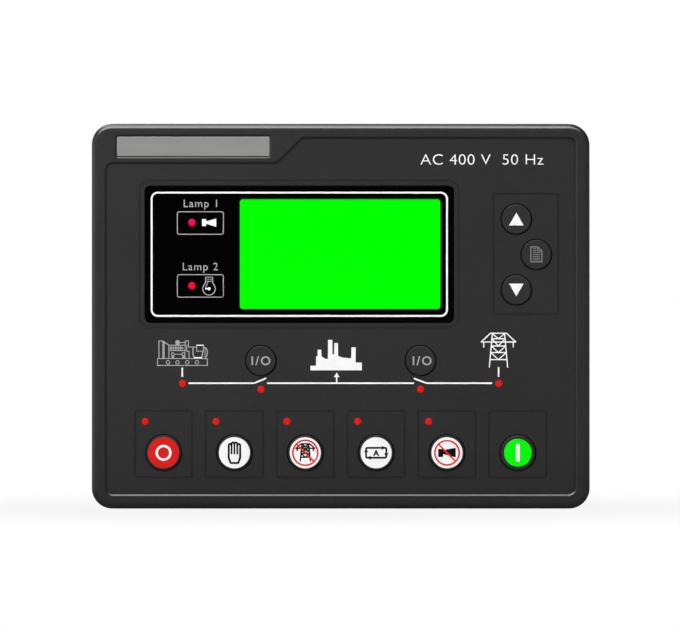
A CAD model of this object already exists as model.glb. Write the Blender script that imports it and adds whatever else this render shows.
import math
import bpy
import bmesh
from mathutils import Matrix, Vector
from mathutils.geometry import delaunay_2d_cdt


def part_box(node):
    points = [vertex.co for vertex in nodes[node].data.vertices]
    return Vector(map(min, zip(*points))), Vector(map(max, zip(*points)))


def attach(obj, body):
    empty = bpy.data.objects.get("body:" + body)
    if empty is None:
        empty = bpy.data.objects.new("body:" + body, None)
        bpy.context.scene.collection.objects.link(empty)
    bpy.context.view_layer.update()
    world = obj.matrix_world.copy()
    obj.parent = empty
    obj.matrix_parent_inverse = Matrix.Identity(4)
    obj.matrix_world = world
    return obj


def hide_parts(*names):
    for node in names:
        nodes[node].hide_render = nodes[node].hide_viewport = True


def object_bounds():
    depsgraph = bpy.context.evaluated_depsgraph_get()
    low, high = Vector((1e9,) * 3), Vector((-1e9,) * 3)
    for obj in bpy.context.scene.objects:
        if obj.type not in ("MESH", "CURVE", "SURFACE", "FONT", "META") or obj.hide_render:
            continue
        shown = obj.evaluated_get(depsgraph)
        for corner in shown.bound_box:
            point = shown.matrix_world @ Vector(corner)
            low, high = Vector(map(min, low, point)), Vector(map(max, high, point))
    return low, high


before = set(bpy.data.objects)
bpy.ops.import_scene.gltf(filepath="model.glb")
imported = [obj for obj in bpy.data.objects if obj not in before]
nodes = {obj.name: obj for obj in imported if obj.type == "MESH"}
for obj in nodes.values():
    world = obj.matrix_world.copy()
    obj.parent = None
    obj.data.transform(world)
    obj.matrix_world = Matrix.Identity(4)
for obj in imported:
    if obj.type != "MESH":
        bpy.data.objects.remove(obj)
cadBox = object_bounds()
mm = 0.001


# where a CAD node is, in millimetres: middle x, middle z, and how far its front stands before the panel
def faceOf(node):
    low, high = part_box(node)
    return (low.x + high.x) / 2 / mm, (low.z + high.z) / 2 / mm, -low.y / mm


def named(ending):
    return [n for n in nodes if n.endswith(ending)]


# noise seldom comes near 0 or 1, so these are its ends for roughness and for colour
noiseSpan = {"rough": (0.3, 0.7), "color": (0.35, 0.65)}


# a finish starts from a plain shader and the piece's own coordinates
def startFinish(name):
    finish = bpy.data.materials.new(name)
    finish.use_nodes = True
    tree = finish.node_tree
    place = tree.nodes.new("ShaderNodeTexCoord")
    return finish, tree, tree.nodes["Principled BSDF"], place.outputs["Object"]


def stretched(tree, place, scale):
    mapping = tree.nodes.new("ShaderNodeMapping")
    mapping.inputs["Scale"].default_value = scale
    tree.links.new(place, mapping.inputs["Vector"])
    return mapping.outputs["Vector"]


def noiseOn(tree, place, size, detail=2.0):
    grain = tree.nodes.new("ShaderNodeTexNoise")
    grain.inputs["Scale"].default_value = 1 / (size * mm)
    grain.inputs["Detail"].default_value = detail
    tree.links.new(place, grain.inputs["Vector"])
    return grain.outputs[0]


# takes a value from one span to another
def ranged(tree, source, span, low, high, smooth=False):
    reach = tree.nodes.new("ShaderNodeMapRange")
    if smooth:
        reach.interpolation_type = "SMOOTHSTEP"
    for name, value in zip(("From Min", "From Max", "To Min", "To Max"), (*span, low, high)):
        reach.inputs[name].default_value = value
    tree.links.new(source, reach.inputs["Value"])
    return reach.outputs["Result"]


# a math node; each value is a number or another node's output
def counted(tree, operation, *values):
    node = tree.nodes.new("ShaderNodeMath")
    node.operation = operation
    for socket, value in zip(node.inputs, values):
        if isinstance(value, (int, float)):
            socket.default_value = value
        else:
            tree.links.new(value, socket)
    return node.outputs[0]


def tint(tree, source, first, second, target):
    ramp = tree.nodes.new("ShaderNodeValToRGB")
    for stop, position, color in zip(ramp.color_ramp.elements, noiseSpan["color"], (first, second)):
        stop.position = position
        stop.color = (*color, 1)
    tree.links.new(source, ramp.inputs["Fac"])
    tree.links.new(ramp.outputs["Color"], target)


def dent(tree, source, depth, shader):
    bump = tree.nodes.new("ShaderNodeBump")
    bump.inputs["Strength"].default_value = 1.0
    bump.inputs["Distance"].default_value = depth * mm
    tree.links.new(source, bump.inputs["Height"])
    tree.links.new(bump.outputs["Normal"], shader.inputs["Normal"])


# darkens the grooves and inner corners of a piece as far as reach, in millimetres
def grimed(tree, reach, target):
    nook = tree.nodes.new("ShaderNodeAmbientOcclusion")
    nook.only_local = True
    nook.samples = 8
    nook.inputs["Distance"].default_value = reach * mm
    tree.links.new(nook.outputs["Color"], target)
    return nook.inputs["Color"]


def shade(color, share):
    return tuple(min(c * share, 1.0) for c in color)


# one recipe for moulded, printed, cast and plated surfaces: grain, cloud, depth and grime are in millimetres
def surface(look):
    finish, tree, shader, place = startFinish(look["name"])
    if "brush" in look:
        place = stretched(tree, place, look["brush"])
    grain = noiseOn(tree, place, look["grain"], look.get("detail", 2.0))
    cloud = noiseOn(tree, place, look["cloud"], detail=3.0)
    base = shader.inputs["Base Color"]
    if "grime" in look:
        base = grimed(tree, look["grime"], base)
    tint(tree, cloud, shade(look["color"], 1 - look["vary"]), shade(look["color"], 1 + look["vary"]), base)
    tree.links.new(ranged(tree, grain, noiseSpan["rough"], *look["rough"]), shader.inputs["Roughness"])
    dent(tree, grain, look["depth"], shader)
    shader.inputs["Specular IOR Level"].default_value = look.get("gloss", 0.5)
    shader.inputs["Metallic"].default_value = look.get("metal", 0.0)
    return finish


def wear(finish, *wearers):
    for node in wearers:
        data = nodes[node].data
        data.materials.clear()
        data.materials.append(finish)


# mouldings that show
bezelLook = {"name": "bezelPlastic", "color": (0.0172, 0.0172, 0.0174), "vary": 0.05, "grain": 0.35,
             "cloud": 30, "depth": 0.003, "rough": (0.26, 0.36), "gloss": 0.25, "grime": 1.2}
housingLook = {"name": "housingPlastic", "color": (0.021, 0.021, 0.022), "vary": 0.08, "grain": 0.5,
               "cloud": 40, "depth": 0.016, "rough": (0.5, 0.7), "gloss": 0.4}
clipLook = {"name": "clipPlastic", "color": (0.034, 0.034, 0.036), "vary": 0.06, "grain": 0.4,
            "cloud": 12, "depth": 0.01, "rough": (0.42, 0.6), "gloss": 0.45}
keyLook = {"name": "keyPlastic", "color": (0.0225, 0.0225, 0.0227), "vary": 0.06, "grain": 0.3,
           "cloud": 9, "depth": 0.004, "rough": (0.42, 0.54), "gloss": 0.09}
wear(surface(bezelLook), "front_bezel")
wear(surface(housingLook), "rear_housing")
wear(surface(clipLook), *named("_clip"))
wear(surface(keyLook), *named("_key"))

badgeLook = {"name": "satinBadge", "color": (0.232, 0.232, 0.227), "vary": 0.025, "grain": 1.0,
             "cloud": 4, "brush": (0.05, 1, 1), "depth": 0.002, "rough": (0.36, 0.5), "gloss": 0.4}
surroundLook = {"name": "blackSurround", "color": (0.0006, 0.0006, 0.0007), "vary": 0.1, "grain": 3,
                "cloud": 50, "depth": 0.001, "rough": (0.1, 0.16), "gloss": 0.03}
wear(surface(badgeLook), "badge_plate")
wear(surface(surroundLook), "display_surround")

# the keys' discs: red, green, and white for all the others
satin = {"grain": 0.25, "cloud": 6, "depth": 0.002, "rough": (0.3, 0.4), "gloss": 0.08}
discLooks = {
    "stop_disc": {"name": "redDisc", "color": (0.69, 0.0125, 0.009), "vary": 0.03},
    "start_disc": {"name": "greenDisc", "color": (0.0, 0.97, 0.001), "vary": 0.02},
    "white": {"name": "whiteDisc", "color": (0.97, 0.97, 0.965), "vary": 0.012},
}
discs = {key: surface({**look, **satin}) for key, look in discLooks.items()}
for name in named("_disc"):
    wear(discs.get(name, discs["white"]), name)

# what is inside and behind
insideLooks = [
    ({"name": "backlightWhite", "color": (0.78, 0.78, 0.76), "vary": 0.02, "grain": 0.5, "cloud": 20,
      "depth": 0.003, "rough": (0.45, 0.6)}, ["lcd_backlight"]),
    ({"name": "foamGasket", "color": (0.012, 0.012, 0.0125), "vary": 0.25, "grain": 0.55, "cloud": 3,
      "detail": 5.0, "depth": 0.12, "rough": (0.8, 0.98), "gloss": 0.2}, ["panel_gasket"]),
    ({"name": "siliconeMat", "color": (0.15, 0.16, 0.17), "vary": 0.04, "grain": 0.6, "cloud": 25,
      "depth": 0.005, "rough": (0.5, 0.62)}, ["key_mat"]),
    ({"name": "boardMask", "color": (0.012, 0.1, 0.035), "vary": 0.12, "grain": 1.2, "cloud": 7,
      "depth": 0.01, "rough": (0.28, 0.42)}, ["front_board", "main_board"]),
    ({"name": "blackMoulding", "color": (0.014, 0.014, 0.016), "vary": 0.06, "grain": 0.4, "cloud": 15,
      "depth": 0.008, "rough": (0.42, 0.58)}, ["relays", "board_link"]),
    ({"name": "brassTurned", "color": (0.62, 0.46, 0.17), "vary": 0.06, "grain": 0.3, "cloud": 5,
      "depth": 0.004, "rough": (0.22, 0.36), "metal": 1.0}, ["board_spacers"]),
    ({"name": "tinnedPins", "color": (0.66, 0.62, 0.52), "vary": 0.05, "grain": 0.2, "cloud": 3,
      "depth": 0.002, "rough": (0.2, 0.32), "metal": 1.0}, ["terminal_pins"]),
    ({"name": "zincScrews", "color": (0.62, 0.63, 0.65), "vary": 0.06, "grain": 0.25, "cloud": 3,
      "depth": 0.004, "rough": (0.24, 0.4), "metal": 1.0},
     ["board_screws", "housing_screws", "terminal_screws"]),
    ({"name": "tinnedShell", "color": (0.6, 0.61, 0.63), "vary": 0.04, "grain": 0.4, "cloud": 4,
      "depth": 0.003, "rough": (0.2, 0.34), "metal": 1.0}, ["usb_socket"]),
    ({"name": "plugGreen", "color": (0.022, 0.26, 0.07), "vary": 0.05, "grain": 0.4, "cloud": 14,
      "depth": 0.006, "rough": (0.36, 0.5), "gloss": 0.45},
     ["upper_headers", "lower_headers"] + named("_plug")),
]
for look, wearers in insideLooks:
    wear(surface(look), *wearers)
print("finishes on the solids:", len(bpy.data.materials))

# lamps: a red lens with a little glow of its own
lens = {"grain": 0.5, "rough": (0.2, 0.3), "gloss": 0.04, "dull": 0.92, "dim": 0.9}
lampLooks = {
    "alarm_lamp": {"name": "alarmLens", "color": (0.42, 0.002, 0.06), "glow": (0.97, 0.0, 0.15),
                   "strength": 0.5},
    "running_lamp": {"name": "runningLens", "color": (0.45, 0.002, 0.02), "glow": (0.97, 0.0, 0.036),
                     "strength": 0.5},
    "modes": {"name": "modeLens", "color": (0.6, 0.01, 0.007), "glow": (0.9, 0.012, 0.008),
              "strength": 0.22},
}


def lampFinish(look):
    finish, tree, shader, place = startFinish(look["name"])
    grain = noiseOn(tree, place, lens["grain"])
    tint(tree, grain, shade(look["color"], lens["dull"]), look["color"], shader.inputs["Base Color"])
    tint(tree, grain, shade(look["glow"], lens["dim"]), look["glow"], shader.inputs["Emission Color"])
    shader.inputs["Emission Strength"].default_value = look["strength"]
    tree.links.new(ranged(tree, grain, noiseSpan["rough"], *lens["rough"]), shader.inputs["Roughness"])
    shader.inputs["Specular IOR Level"].default_value = lens["gloss"]
    return finish


lenses = {key: lampFinish(look) for key, look in lampLooks.items()}
for name in named("_lamp"):
    wear(lenses.get(name, lenses["modes"]), name)

# the lit screen: faint cells of a dot display over an even backlight
screenLook = {"cells": (128, 64), "size": (97.4, 53.3), "line": 0.06, "lit": (0.0, 1.0, 0.0),
              "gap": (0.0, 0.93, 0.0), "strength": 1.0, "unlit": (0.0, 0.008, 0.0), "rough": 0.2,
              "gloss": 0.04}


def screenFinish(look):
    finish, tree, shader, place = startFinish("litScreen")
    parts = tree.nodes.new("ShaderNodeSeparateXYZ")
    tree.links.new(place, parts.inputs["Vector"])
    edges = []
    for axis, count, size in zip("XZ", look["cells"], look["size"]):
        cell = counted(tree, "FRACT", counted(tree, "MULTIPLY", parts.outputs[axis], count / (size * mm)))
        edges.append(counted(tree, "LESS_THAN", cell, look["line"]))
    tint(tree, counted(tree, "MAXIMUM", *edges), look["lit"], look["gap"], shader.inputs["Emission Color"])
    shader.inputs["Emission Strength"].default_value = look["strength"]
    shader.inputs["Base Color"].default_value = (*look["unlit"], 1)
    shader.inputs["Roughness"].default_value = look["rough"]
    shader.inputs["Specular IOR Level"].default_value = look["gloss"]
    return finish


wear(screenFinish(screenLook), "lcd_screen")
print("lamps and screen lit")


# flat outlines, in millimetres: each helper gives a list of closed rings, and roundBox one ring alone
def disc(x, z, r, sides=28):
    turns = (2 * math.pi * i / sides for i in range(sides))
    return [[(x + r * math.cos(a), z + r * math.sin(a)) for a in turns]]


def band(outer, inner):
    count = len(outer)
    return [[outer[i], outer[(i + 1) % count], inner[(i + 1) % count], inner[i]] for i in range(count)]


def ring(x, z, r, width, sides=48):
    return band(disc(x, z, r + width / 2, sides)[0], disc(x, z, r - width / 2, sides)[0])


def box(x1, z1, x2, z2):
    return [[(x1, z1), (x2, z1), (x2, z2), (x1, z2)]]


def roundBox(x1, z1, x2, z2, r, steps=6):
    corners = [(x2 - r, z2 - r, 0), (x1 + r, z2 - r, 90), (x1 + r, z1 + r, 180), (x2 - r, z1 + r, 270)]
    turns = [(x, z, math.radians(a + 90 * i / steps)) for x, z, a in corners for i in range(steps + 1)]
    return [(x + r * math.cos(a), z + r * math.sin(a)) for x, z, a in turns]


def frameLine(x1, z1, x2, z2, r, width):
    h = width / 2
    return band(roundBox(x1 - h, z1 - h, x2 + h, z2 + h, r + h),
                roundBox(x1 + h, z1 + h, x2 - h, z2 - h, r - h))


def bar(start, end, width):
    (x1, z1), (x2, z2) = start, end
    length = math.hypot(x2 - x1, z2 - z1)
    dx, dz = (z1 - z2) * width / 2 / length, (x2 - x1) * width / 2 / length
    return [[(x1 - dx, z1 - dz), (x2 - dx, z2 - dz), (x2 + dx, z2 + dz), (x1 + dx, z1 + dz)]]


# bars from point to point with round joints and ends
def stroke(points, width, closed=False):
    ends = points[1:] + points[:1] if closed else points[1:]
    shapes = []
    for start, end in zip(points, ends):
        shapes += bar(start, end, width)
    for x, z in points:
        shapes += disc(x, z, width / 2, 10)
    return shapes


def moved(shapes, dx, dz, scale=1.0, wide=1.0):
    return [[(x * scale * wide + dx, z * scale + dz) for x, z in shape] for shape in shapes]


def area(loop):
    return sum(a[0] * b[1] - b[0] * a[1] for a, b in zip(loop, loop[1:] + loop[:1])) / 2


# joins overlapping outlines into one flat mesh, less the cuts; points nearer than 1e-5 mm become one
def joined(shapes, cuts=()):
    points, loops = [], []
    for shape in list(shapes) + list(cuts):
        loop = shape if area(shape) > 0 else shape[::-1]
        loops.append(list(range(len(points), len(points) + len(loop))))
        points += [Vector(p) for p in loop]
    spots, _, faces, _, _, owners = delaunay_2d_cdt(points, [], loops, 0, 1e-5)
    kept = [f for f, own in zip(faces, owners) if own and max(own) < len(shapes)]
    return [(p.x, p.y) for p in spots], kept


# a line of lettering as a flat mesh: height is that of its capitals, x and z give its middle and foot
def lettering(text, height, x, z, spacing=1.0, width=None, weight=0.0):
    curve = bpy.data.curves.new("lettering", "FONT")
    curve.body = text
    curve.offset = weight
    curve.space_character = spacing
    curve.resolution_u = 5
    carrier = bpy.data.objects.new("lettering", curve)
    flat = bpy.data.meshes.new_from_object(carrier)
    probe = curve.copy()
    probe.body = "H"
    carrier.data = probe
    capital = bpy.data.meshes.new_from_object(carrier)
    up = height / max(v.co.y for v in capital.vertices)
    left, right = min(v.co.x for v in flat.vertices), max(v.co.x for v in flat.vertices)
    across = width / (right - left) if width else up
    spots = [((v.co.x - (left + right) / 2) * across + x, v.co.y * up + z) for v in flat.vertices]
    faces = [list(face.vertices) for face in flat.polygons]
    if sum(area([spots[i] for i in loop]) for loop in faces) < 0:
        faces = [loop[::-1] for loop in faces]
    bpy.data.objects.remove(carrier)
    for used in (curve, probe):
        bpy.data.curves.remove(used)
    for used in (flat, capital):
        bpy.data.meshes.remove(used)
    return spots, faces


def sceneMesh(name, mesh):
    data = bpy.data.meshes.new(name)
    mesh.to_mesh(data)
    mesh.free()
    piece = bpy.data.objects.new(name, data)
    bpy.context.scene.collection.objects.link(piece)
    return piece


def pieceOf(name, mesh, finish, body):
    piece = sceneMesh(name, mesh)
    piece.data.materials.append(finish)
    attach(piece, body)
    return piece


# a film of print stands proud of its face by the lift and reaches into it by the sink
film = {"lift": 0.03, "sink": 0.05}


# prints a thin closed film on a flat face; level is how far that face stands before the panel, or behind it
# for a print at the back
def printFilm(name, body, finish, level, flats, atBack=False, lift=film["lift"]):
    side = 1 if atBack else -1
    mesh = bmesh.new()
    for spots, faces in flats:
        used = sorted({i for face in faces for i in face})
        upper, lower = ({i: mesh.verts.new((spots[i][0] * mm, side * y * mm, spots[i][1] * mm)) for i in used}
                        for y in (level + lift, level - film["sink"]))
        rims = {}
        for face in faces:
            loop = face[::-1] if atBack else face
            mesh.faces.new([upper[i] for i in loop])
            mesh.faces.new([lower[i] for i in reversed(loop)])
            rims.update(dict.fromkeys(zip(loop, loop[1:] + loop[:1])))
        for a, b in rims:
            if (b, a) not in rims:
                mesh.faces.new([upper[b], upper[a], lower[a], lower[b]])
    return pieceOf(name, mesh, finish, body)


inkLooks = {
    "white": {"name": "whiteInk", "color": (0.97, 0.97, 0.97), "vary": 0.02},
    "grey": {"name": "greyInk", "color": (0.42, 0.42, 0.42), "vary": 0.03},
    "dim": {"name": "dimInk", "color": (0.26, 0.26, 0.26), "vary": 0.04},
    "red": {"name": "redInk", "color": (0.76, 0.016, 0.012), "vary": 0.03},
    "black": {"name": "blackInk", "color": (0.002, 0.002, 0.002), "vary": 0.1},
}
dried = {"grain": 0.2, "cloud": 3, "depth": 0.001, "rough": (0.42, 0.55), "gloss": 0.05}
ink = {key: surface({**look, **dried}) for key, look in inkLooks.items()}

surroundLevel = faceOf("display_surround")[2]
fieldLevel = surroundLevel + 0.1  # the bezel's sunken field stands a tenth above the surround


def onSurround(name, tone, flats):
    printFilm(name, "root", ink[tone], surroundLevel, flats)


def onField(name, tone, flats):
    printFilm(name, "root", ink[tone], fieldLevel, flats)


# white line round the display
border = {"left": -91.84, "right": 51.6, "low": 0.12, "high": 60.02, "round": 3.0, "line": 0.91}
onSurround("displayBorder", "white", [joined(frameLine(
    border["left"], border["low"], border["right"], border["high"], border["round"], border["line"]))])

# the two status fields beside the screen: each has a frame and a number, one has a horn, the other an engine
status = {"left": -79.37, "right": -57.0, "half": 5.46, "round": 1.0, "line": 0.41, "cap": 3.6, "rise": 7.5,
          "spacing": 1.15, "drop": {"alarm_lamp": 0.25, "running_lamp": 0.07}}
hornSign = [[(-67.4, 43.8), (-65.35, 43.8), (-65.35, 44.95), (-60.5, 43.4), (-60.5, 47.45), (-65.35, 46.05),
             (-65.35, 47.2), (-67.4, 47.2)]]
engine = {"x": -63.98, "z": 13.33, "r": 3.05, "line": 0.4, "neck": 38, "head": 0.32, "gasket": 0.24,
          "crank": 0.75, "journal": 0.78}


# a round case that rises to its neck, in degrees above level, with the head on it and a rod to the crank
def engineSign(look):
    sweep = [math.radians(a) for a in range(180 - look["neck"], 361 + look["neck"], 8)]
    case = [(look["r"] * math.cos(a), look["r"] * math.sin(a)) for a in sweep]
    lines = stroke([(-1.7, 3.6), (-1.8, 3.0)] + case + [(1.8, 3.0), (1.7, 3.6)], look["line"])
    lines += stroke([(-1.75, 3.65), (1.75, 3.65), (1.75, 5.6), (-1.75, 5.6)], look["head"], True)
    lines += bar((-1.6, 4.6), (1.6, 4.6), look["gasket"]) + stroke([(-0.4, 3.6), (-1.75, 0.1)], look["line"])
    crank = bar((-1.85, 0), (0, 0), look["crank"]) + disc(0, 0, look["journal"], 20)
    return moved(lines, look["x"], look["z"]), moved(crank, look["x"], look["z"])


statusFrames, statusWords = [], []
for text, lamp in (("Lamp 1", "alarm_lamp"), ("Lamp 2", "running_lamp")):
    lampZ = faceOf(lamp)[1]
    middle = lampZ - status["drop"][lamp]
    statusFrames += frameLine(status["left"], middle - status["half"], status["right"],
                              middle + status["half"], status["round"], status["line"])
    statusWords.append(lettering(text, status["cap"], (status["left"] + status["right"]) / 2,
                                 lampZ + status["rise"], status["spacing"]))
engineLines, crank = engineSign(engine)
onSurround("statusFrames", "grey", [joined(statusFrames), joined(engineLines, crank)] + statusWords)
onSurround("statusMarks", "white", [joined(hornSign), joined(crank)])

# rated values at the top right
rating = {"text": "AC 400 V  50 Hz", "cap": 5.0, "middle": 68.6, "foot": 73.6, "spacing": 1.05, "width": 59.8,
          "weight": -0.01}
onField("ratingPrint", "white", [lettering(
    rating["text"], rating["cap"], rating["middle"], rating["foot"], rating["spacing"], rating["width"],
    rating["weight"])])
print("display and rating printed")

# one-line diagram: bus, two breaker blades, feeders and the arrow to the load
diagram = {"bus": -32.53, "line": 0.82, "thin": 0.76, "spans": ((-73.9, -42.1), (-35.8, 35.6), (41.5, 73.5)),
           "blades": (((-42.0, 0.0), (-36.2, 2.43)), ((35.5, 2.33), (41.6, 0.0))),
           "feeders": ((-76.97, -25.0), (76.65, -24.7)), "feederFoot": -29.5,
           "load": -1.97, "shaft": -28.8, "head": (-29.6, -27.3), "headHalf": 1.45}


def diagramLines(look):
    bus, load = look["bus"], look["load"]
    lines = []
    for x1, x2 in look["spans"]:
        lines += bar((x1, bus), (x2, bus), look["line"])
    for (x1, rise1), (x2, rise2) in look["blades"]:
        lines += bar((x1, bus + rise1), (x2, bus + rise2), look["thin"])
    for x, top in look["feeders"]:
        lines += bar((x, top), (x, look["feederFoot"]), look["thin"])
    lines += bar((load, bus), (load, look["shaft"]), look["thin"])
    foot, tip = look["head"]
    return lines + [[(load - look["headHalf"], foot), (load + look["headHalf"], foot), (load, tip)]]


onField("diagramLines", "white", [joined(diagramLines(diagram))])

# generator sign: skid, radiator, engine and alternator, with two parts picked out in white
generator = {"x": -76.9, "foot": -24.0, "line": 0.4, "deck": 3.45}


def generatorSign(look):
    w, deck = look["line"], look["deck"]
    skid = stroke([(-12.1, 0.1), (12.1, 0.1), (12.1, deck), (-12.1, deck)], w, True)
    for x in (-7.0, -2.37, 2.37, 7.04):
        skid += ring(x, 1.6, 0.85, 0.38, 20)
    radiator = stroke([(-11.4, deck), (-11.4, 12.0), (-9.5, 12.0), (-9.5, deck)], w)
    radiator += bar((-8.95, deck), (-8.95, 11.3), 0.55) + stroke([(-9.5, 11.9), (-6.6, 10.0)], w * 1.3)
    block = stroke([(-6.6, deck), (-6.6, 9.9), (1.5, 9.9)], w) + bar((-6.4, 8.55), (0.5, 8.55), 0.55)
    block += bar((-6.3, 7.35), (1.3, 7.35), 0.5) + bar((-3.8, 5.5), (0.0, 5.5), 0.35)
    block += bar((1.3, deck), (1.3, 9.6), 0.3)
    for x in (-5.6, -4.4, -3.2, -2.0, -0.8):
        block += bar((x, 7.5), (x, 9.7), 0.4)
    for x in (-4.65, 0.5):
        block += ring(x, 5.5, 0.75, 0.42, 20) + box(x - 0.55, deck, x + 0.55, 4.8)
    block += [roundBox(-3.4, 10.0, -1.3, 12.3, 0.7)] + stroke([(-1.3, 11.2), (1.3, 11.2)], w)
    block += stroke([(1.4, 9.6), (1.4, 12.0), (2.9, 12.0), (2.9, 9.0)], w)
    block += stroke([(2.1, 9.9), (2.1, 7.0), (3.2, 7.0), (3.2, deck)], w)
    alternator = stroke([(2.9, 9.0), (6.9, 9.0)], w) + stroke([(5.2, 9.0), (5.2, 5.0), (5.9, 3.9)], w * 1.4)
    alternator += stroke([(6.95, 9.6), (6.95, 7.0), (10.2, 7.0), (10.2, 9.6)], w)
    alternator += stroke([(9.9, 7.0), (9.7, 5.0), (9.2, 3.9)], w * 1.3)
    cowl = [(10.4, 8.8), (11.4, 8.6), (12.0, 7.6), (12.1, 6.4), (11.9, 4.9), (11.2, 3.9)]
    alternator += stroke(cowl, w * 1.2) + bar((11.0, 8.6), (11.0, 4.0), 0.3)
    picked = box(5.6, 3.5, 9.5, 4.15) + box(6.8, 9.65, 10.4, 10.15)
    lines = skid + radiator + block + alternator
    return moved(lines, look["x"], look["foot"]), moved(picked, look["x"], look["foot"])


generatorLines, generatorPicked = generatorSign(generator)
onField("generatorSign", "grey", [joined(generatorLines, generatorPicked)])
onField("generatorMarks", "white", [joined(generatorPicked)])

# load sign: a works with chimneys
works = {"x": -2.25, "foot": -26.3}
worksOutline = [[(-12.5, 0), (12.5, 0), (12.5, 3.8), (9.5, 3.8), (9.5, 11.2), (7.4, 11.2), (7.3, 5.8),
                 (3.2, 6.2), (1.0, 7.0), (0.9, 13.3), (-0.9, 13.3), (-1.0, 7.8), (-1.8, 7.8), (-1.8, 14.8),
                 (-3.9, 14.8), (-4.0, 5.6), (-5.3, 5.6), (-7.1, 6.8), (-7.2, 10.0), (-9.0, 10.0), (-9.0, 7.1),
                 (-9.7, 6.7), (-9.8, 2.3), (-12.5, 2.2)]]
onField("worksSign", "white", [joined(moved(worksOutline, works["x"], works["foot"]))])

# mains sign: a lattice mast; the test key carries a smaller one
mast = {"x": 76.6, "foot": -24.67, "line": 0.56, "top": 16.4, "roof": 3.9, "arms": 12.14, "eave": 8.4,
        "reach": 8.5, "drop": (7.16, 9.5), "neck": 2.95, "base": 4.43, "brace": 0.9,
        "levels": (16.2, 13.72, 10.2, 7.04, 3.6)}


def mastSign(line):
    top, arms, eave, roof = mast["top"], mast["arms"], mast["eave"], mast["roof"]

    def legAt(z):
        return mast["neck"] + (mast["base"] - mast["neck"]) * (top - z) / top

    sign = stroke([(-eave, arms), (-roof, top), (roof, top), (eave, arms)], line)
    sign += bar((-mast["reach"], arms), (mast["reach"], arms), line)
    dropX, dropZ = mast["drop"]
    for s in (-1, 1):
        sign += stroke([(s * legAt(top), top), (s * legAt(0), 0)], line)
        sign += bar((s * dropX, arms), (s * dropX, dropZ), line)
    for z in mast["levels"][1:]:
        sign += bar((-legAt(z), z), (legAt(z), z), line)
    for upper, lower in zip(mast["levels"], mast["levels"][1:]):
        for s in (-1, 1):
            sign += bar((s * legAt(upper), upper), (0, lower), line * mast["brace"])
    return sign


onField("mastSign", "white", [joined(moved(mastSign(mast["line"]), mast["x"], mast["foot"]))])
print("diagram and its signs printed")


# signs on the keys: each one is drawn round its key's middle and rides on that key
def keySign(name, key, carrier, tone, shapes, words=None, lift=film["lift"]):
    x, z, level = faceOf(carrier)
    flats = []
    if shapes:
        flats.append(joined(moved(shapes, x, z)))
    if words:
        flats.append(lettering(words["text"], words["cap"], x + words.get("shift", 0.0), z - words["cap"] / 2,
                               words.get("spacing", 1.0), weight=words["weight"]))
    printFilm(name, key + "_button", ink[tone], level, flats, lift=lift)


stopMark = {"r": 3.3, "line": 1.14}
keySign("stopRing", "stop", "stop_disc", "white", ring(0, 0, stopMark["r"], stopMark["line"]))

startMark = {"half": 0.875, "tall": 4.25, "round": 0.3}
keySign("startBar", "start", "start_disc", "white", [roundBox(
    -startMark["half"], -startMark["tall"], startMark["half"], startMark["tall"], startMark["round"], 3)])

hand = {"line": 0.98, "apart": 1.39, "tips": (4.3, 5.0, 5.0, 4.3), "bend": 0.45, "side": 1.2, "shoulder": 0.5,
        "cleft": (4.0, -0.7), "cleftLine": 0.85,
        "palm": [(-2.78, 3.2), (-2.78, -2.4), (-1.85, -4.95), (1.85, -4.95), (2.78, -2.4), (2.78, 3.2)]}


def handSign(look):
    apart, bend, line = look["apart"], look["bend"], look["line"]
    side, shoulder = look["side"], look["shoulder"]
    lines = stroke(look["palm"], line)
    for i, tip in enumerate(look["tips"]):
        x1, x2 = (i - 2) * apart, (i - 1) * apart
        rise = [(x1, tip - side), (x1, tip - shoulder), (x1 + bend, tip)]
        fall = [(x2 - bend, tip), (x2, tip - shoulder), (x2, tip - side)]
        lines += stroke(rise + fall, line)
    for x in (-apart, 0, apart):
        lines += bar((x, look["cleft"][0]), (x, look["cleft"][1]), line * look["cleftLine"])
    return lines


keySign("handSign", "manual", "manual_disc", "black", handSign(hand))

# barred signs: the red ring and bar lie over the black sign
ban = {"testR": 6.05, "muteR": 5.9, "line": 0.8, "reach": 4.2, "lift": 0.05}


def banRing(r):
    reach = ban["reach"]
    return ring(0, 0, r, ban["line"]) + bar((-reach, reach), (reach, -reach), ban["line"])


testMast = {"line": 1.35, "foot": -3.97, "scale": 0.507, "wide": 1.08}
keySign("testMast", "test", "test_disc", "black", moved(
    mastSign(testMast["line"]), 0.0, testMast["foot"], testMast["scale"], testMast["wide"]))
keySign("testBan", "test", "test_disc", "red", banRing(ban["testR"]), lift=ban["lift"])

# a loop with an arrow head on each side, and a letter in it
autoMark = {"x": 4.9, "z": 2.4, "line": 0.92, "cut": 0.4, "headHalf": 1.1, "across": (2.7, 4.4),
            "upright": (0.3, 2.0), "letter": {"text": "A", "cap": 2.8, "weight": 0.045}}


def loopSign(look):
    x, z, cut, half = look["x"], look["z"], look["cut"], look["headHalf"]
    lines = stroke([(-x, z - cut), (-x + cut, z), (x - cut, z), (x, z - cut), (x, -z + cut), (x - cut, -z),
                    (-x + cut, -z), (-x, -z + cut)], look["line"], True)
    for s in (1, -1):
        foot, tip = look["across"]
        lines += [[(s * foot, s * (z + half)), (s * tip, s * z), (s * foot, s * (z - half))]]
        foot, tip = look["upright"]
        lines += [[(s * (x + half), -s * foot), (s * x, -s * tip), (s * (x - half), -s * foot)]]
    return lines


keySign("autoLoop", "auto", "auto_disc", "black", loopSign(autoMark), autoMark["letter"])

muteHorn = box(-4.3, -2.05, -1.9, 1.9) + [[(-1.95, -0.6), (4.2, -2.3), (4.2, 2.4), (-1.95, 1.35)]]
keySign("muteHorn", "mute", "mute_disc", "black", muteHorn)
keySign("muteBan", "mute", "mute_disc", "red", banRing(ban["muteR"]), lift=ban["lift"])

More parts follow.
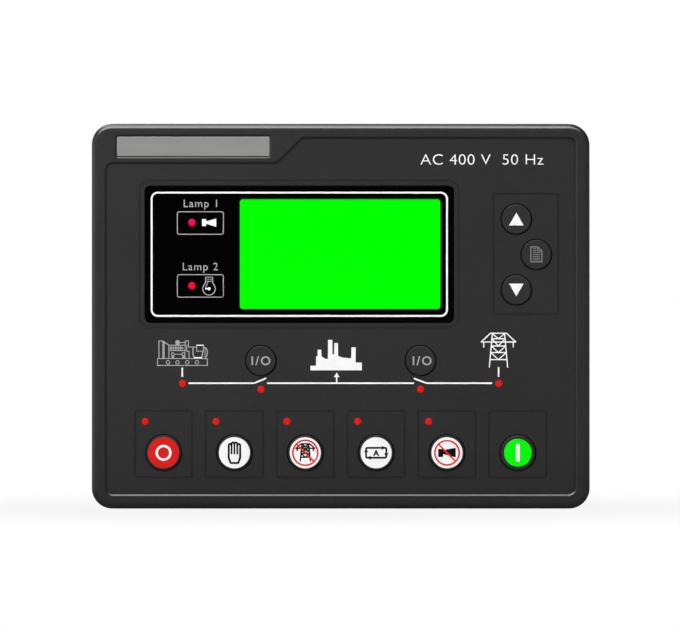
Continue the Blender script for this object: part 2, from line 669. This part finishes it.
arrow = {"half": 3.6, "rise": 3.075}
for key, s in (("up", 1), ("down", -1)):
    keySign(key + "Arrow", key, key + "_key", "white", [[
        (-arrow["half"], -s * arrow["rise"]), (arrow["half"], -s * arrow["rise"]), (0, s * arrow["rise"])]])

# a sheet with a folded corner and rows of writing; the upper rows stop short of the fold
sheet = {"line": 0.5, "scale": 0.94, "fold": 0.4, "rowLine": 0.36, "rows": (0.9, -0.1, -1.0, -1.9, -2.8),
         "shortRows": (2.9, 1.9)}


def sheetSign(look):
    lines = stroke([(-2.9, -3.8), (-2.9, 3.9), (0.7, 3.9), (2.8, 1.8), (2.8, -3.8)], look["line"], True)
    lines += stroke([(0.7, 3.9), (0.7, 1.8), (2.8, 1.8)], look["fold"])
    for z in look["shortRows"]:
        lines += bar((-1.9, z), (0.0, z), look["rowLine"])
    for z in look["rows"]:
        lines += bar((-1.9, z), (1.9, z), look["rowLine"])
    return moved(lines, 0, 0, look["scale"])


keySign("pageSign", "page", "page_key", "dim", sheetSign(sheet))

onOff = {"text": "I/O", "cap": 4.2, "spacing": 1.25, "weight": 0.012}
for key, shift in (("gen", 0.0), ("mains", 0.75)):
    words = {**onOff, "shift": shift}
    keySign(key + "BreakerSign", key + "_breaker", key + "_breaker_key", "grey", [], words)
print("keys printed")

# back of the housing: the numbers of the poles, turned to be read from behind
poles = {"pitch": 5.08, "cap": 2.1, "foot": 47.2,
         "plugs": (("upper_right", 13), ("upper_left", 13), ("lower_right", 16), ("lower_left", 16))}
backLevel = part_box("rear_housing")[1].y / mm
numbers = []
for plug, count in poles["plugs"]:
    x, z, _ = faceOf(plug + "_plug")
    foot = poles["foot"] if z > 0 else -poles["foot"] - poles["cap"]
    for i in range(count):
        middle = x - (i - (count - 1) / 2) * poles["pitch"]
        spots, faces = lettering(str(len(numbers) + 1), poles["cap"], 0, foot)
        numbers.append(([(middle - px, pz) for px, pz in spots], [f[::-1] for f in faces]))
printFilm("poleNumbers", "root", ink["white"], backLevel, numbers, True)
print("back printed:", len(numbers), "poles numbered")

# clamp screws with their threads, in place of the plain ones; tip and seat are places behind the panel
screw = {"major": 2.0, "minor": 1.66, "pitch": 0.7, "tip": 6.0, "tipR": 1.35, "taper": 0.8, "crest": 1.25,
         "seat": 36.0, "headT": 3.0, "headR": 3.8, "under": ((0.0, 0.5), (0.06, 0.15), (0.1, 0.0)),
         "crown": 0.8, "slot": 1.0, "slotDepth": 1.4, "slotLength": 10.0, "sides": 28, "steps": 6,
         "headSides": 40}
zincLook = {"name": "zincThread", "color": (0.6, 0.61, 0.64), "vary": 0.07, "grain": 0.25, "cloud": 3,
            "depth": 0.003, "rough": (0.22, 0.38), "metal": 1.0}
zinc = surface(zincLook)


# a closed turned body along y; radiusAt gives the radius at a row and a side
def lathe(x, z, rows, sides, radiusAt):
    mesh = bmesh.new()
    loops = []
    for i, y in enumerate(rows):
        turns = [(radiusAt(i, j), 2 * math.pi * j / sides) for j in range(sides)]
        loops.append([mesh.verts.new(((x + r * math.cos(a)) * mm, y * mm, (z + r * math.sin(a)) * mm))
                      for r, a in turns])
    for near, far in zip(loops, loops[1:]):
        for j in range(sides):
            k = (j + 1) % sides
            mesh.faces.new([near[k], near[j], far[j], far[k]])
    mesh.faces.new(loops[0])
    mesh.faces.new(loops[-1][::-1])
    return mesh


def threadedShaft(x, z):
    tip, seat, pitch, sides = screw["tip"], screw["seat"], screw["pitch"], screw["sides"]
    count = int((seat - tip) / pitch * screw["steps"])
    rows = [tip + (seat - tip) * i / count for i in range(count + 1)]

    def threadAt(i, j):
        part = (rows[i] / pitch - j / sides) % 1.0
        crest = min(1.0, (1 - abs(2 * part - 1)) * screw["crest"])
        radius = screw["minor"] + (screw["major"] - screw["minor"]) * crest
        return min(radius, screw["tipR"] + (rows[i] - tip) * screw["taper"])

    return lathe(x, z, rows, sides, threadAt)


def slottedHead(x, z):
    seat, crown = screw["seat"], screw["crown"]
    top = seat + screw["headT"]
    bends = [math.radians(a) for a in range(0, 91, 15)]
    profile = [(seat + y, screw["headR"] - inset) for y, inset in screw["under"]]
    profile += [(top - crown + crown * math.sin(a), screw["headR"] - crown + crown * math.cos(a))
                for a in bends]
    head = sceneMesh("screwHead", lathe(x, z, [y for y, _ in profile], screw["headSides"],
                                        lambda i, j: profile[i][1]))
    block = bmesh.new()
    bmesh.ops.create_cube(block, size=1.0)
    for v in block.verts:
        v.co = Vector((x + v.co.x * screw["slotLength"], top + v.co.y * 2 * screw["slotDepth"],
                       z + v.co.z * screw["slot"])) * mm
    cutter = sceneMesh("slotCutter", block)
    cut = head.modifiers.new("slot", "BOOLEAN")
    cut.object = cutter
    cut.operation = "DIFFERENCE"
    bpy.context.view_layer.update()
    slotted = bpy.data.meshes.new_from_object(head.evaluated_get(bpy.context.evaluated_depsgraph_get()))
    bpy.data.objects.remove(head)
    bpy.data.objects.remove(cutter)
    return slotted


for node in named("_clamp_screw"):
    corner = node.replace("_clamp_screw", "")
    side, end = corner.split("_")
    x, z, _ = faceOf(node)
    whole = threadedShaft(x, z)
    whole.from_mesh(slottedHead(x, z))
    piece = pieceOf(side + end.capitalize() + "Clamp", whole, zinc, corner + "_clamp")
    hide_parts(node)
print("clamp screws threaded")

# studio: a pale floor that keeps the shadow close to the object and turns plain white further out
studio = {"floorSize": 12.0, "floor": (0.5, 0.5, 0.5), "floorRough": 0.9, "whiteNear": 0.88,
          "whiteFrom": (0.11, 0.34), "glossFrom": (0.12, 0.6), "fill": 0.14, "sweepFrom": (0.42, 0.92)}
half, low = studio["floorSize"] / 2, cadBox[0].z
floorMesh = bpy.data.meshes.new("floor")
floorMesh.from_pydata([(-half, -half, low), (half, -half, low), (half, half, low), (-half, half, low)], [],
                      [(0, 1, 2, 3)])
floor = bpy.data.objects.new("floor", floorMesh)
bpy.context.scene.collection.objects.link(floor)


# share of a ray that sees plain white: all of it for the camera and for clear pieces, and for gloss the share
# that is asked
def seesWhite(tree, forGloss):
    ray = tree.nodes.new("ShaderNodeLightPath")
    gloss = counted(tree, "MULTIPLY", ray.outputs["Is Glossy Ray"], forGloss)
    straight = counted(tree, "MAXIMUM", ray.outputs["Is Camera Ray"], ray.outputs["Is Transmission Ray"])
    return counted(tree, "MAXIMUM", straight, gloss)


def mixed(tree, share, first, second, target):
    mix = tree.nodes.new("ShaderNodeMixShader")
    tree.links.new(share, mix.inputs["Fac"])
    tree.links.new(first, mix.inputs[1])
    tree.links.new(second, mix.inputs[2])
    tree.links.new(mix.outputs["Shader"], target)


floorPaint = bpy.data.materials.new("paleFloor")
floorPaint.use_nodes = True
tree = floorPaint.node_tree
paint = tree.nodes["Principled BSDF"]
paint.inputs["Base Color"].default_value = (*studio["floor"], 1)
paint.inputs["Roughness"].default_value = studio["floorRough"]
paint.inputs["Specular IOR Level"].default_value = 0.0
glow = tree.nodes.new("ShaderNodeEmission")
glow.inputs["Color"].default_value = (1, 1, 1, 1)
spot = tree.nodes.new("ShaderNodeTexCoord")
away = tree.nodes.new("ShaderNodeVectorMath")
away.operation = "LENGTH"
tree.links.new(spot.outputs["Object"], away.inputs[0])
distance = away.outputs["Value"]
whiteShare = ranged(tree, distance, studio["whiteFrom"], studio["whiteNear"], 1.0, True)
glossShare = ranged(tree, distance, studio["glossFrom"], 0.0, 1.0, True)
mixed(tree, counted(tree, "MULTIPLY", seesWhite(tree, glossShare), whiteShare), paint.outputs["BSDF"],
      glow.outputs["Emission"], tree.nodes["Material Output"].inputs["Surface"])
floorMesh.materials.append(floorPaint)

# gloss sees a white sweep behind the object and a dim room on the other sides
world = bpy.data.worlds.new("studio")
bpy.context.scene.world = world
world.use_nodes = True
tree = world.node_tree
dim = tree.nodes["Background"]
white = tree.nodes.new("ShaderNodeBackground")
for background, strength in ((dim, studio["fill"]), (white, 1.0)):
    background.inputs["Color"].default_value = (1, 1, 1, 1)
    background.inputs["Strength"].default_value = strength
spot = tree.nodes.new("ShaderNodeTexCoord")
parts = tree.nodes.new("ShaderNodeSeparateXYZ")
tree.links.new(spot.outputs["Generated"], parts.inputs["Vector"])
glossShare = ranged(tree, parts.outputs["Y"], studio["sweepFrom"], 0.0, 1.0, True)
mixed(tree, seesWhite(tree, glossShare), dim.outputs["Background"], white.outputs["Background"],
      tree.nodes["World Output"].inputs["Surface"])

# soft lamps, all aimed at the middle: left and right give the colour, and three that only gloss sees draw
# the edges; places are in metres and power in watts
lamps = {
    "overhead": {"at": (-0.2, -0.12, 1.0), "size": (1.4, 0.6), "power": 24.0, "shows": "gloss"},
    "frontTop": {"at": (-0.4, -1.3, 1.64), "size": (2.8, 0.84), "power": 168.0, "shows": "gloss"},
    "leftSide": {"at": (-1.1, -0.2, 0.05), "size": (0.9, 0.9), "power": 4.8, "shows": "gloss"},
    "left": {"at": (-0.95, -2.25, 0.4), "size": (0.9, 0.9), "power": 48.0, "shows": "colour"},
    "right": {"at": (1.7, -1.6, 0.6), "size": (0.9, 0.9), "power": 8.0, "shows": "colour"},
    "behind": {"at": (0.9, 1.8, 0.8), "size": (1.4, 1.4), "power": 24.0, "shows": "both"},
}
for name, lamp in lamps.items():
    data = bpy.data.lights.new(name, "AREA")
    data.shape = "RECTANGLE"
    data.size, data.size_y = lamp["size"]
    data.energy = lamp["power"]
    light = bpy.data.objects.new(name, data)
    light.location = lamp["at"]
    light.visible_camera = False
    light.visible_diffuse = lamp["shows"] != "gloss"
    light.visible_glossy = lamp["shows"] != "colour"
    light.rotation_euler = (-Vector(lamp["at"])).to_track_quat("-Z", "Y").to_euler()
    bpy.context.scene.collection.objects.link(light)

# camera square to the front, far off so that the lines stay parallel; all but the sensor is in metres
view = {"x": -0.000364, "z": 0.000583, "distance": 3.0, "front": -0.011, "width": 0.33024, "sensor": 36.0,
        "clip": 50}
cameraData = bpy.data.cameras.new("camera")
cameraData.sensor_width = view["sensor"]
cameraData.lens = view["sensor"] * view["distance"] / view["width"]
cameraData.clip_end = view["clip"]
camera = bpy.data.objects.new("camera", cameraData)
camera.location = (view["x"], view["front"] - view["distance"], view["z"])
camera.rotation_euler = (math.radians(90), 0, 0)
bpy.context.scene.collection.objects.link(camera)
bpy.context.scene.camera = camera
bpy.context.scene.view_settings.view_transform = "Standard"
print("studio lit, camera placed")

bpy.context.view_layer.update()
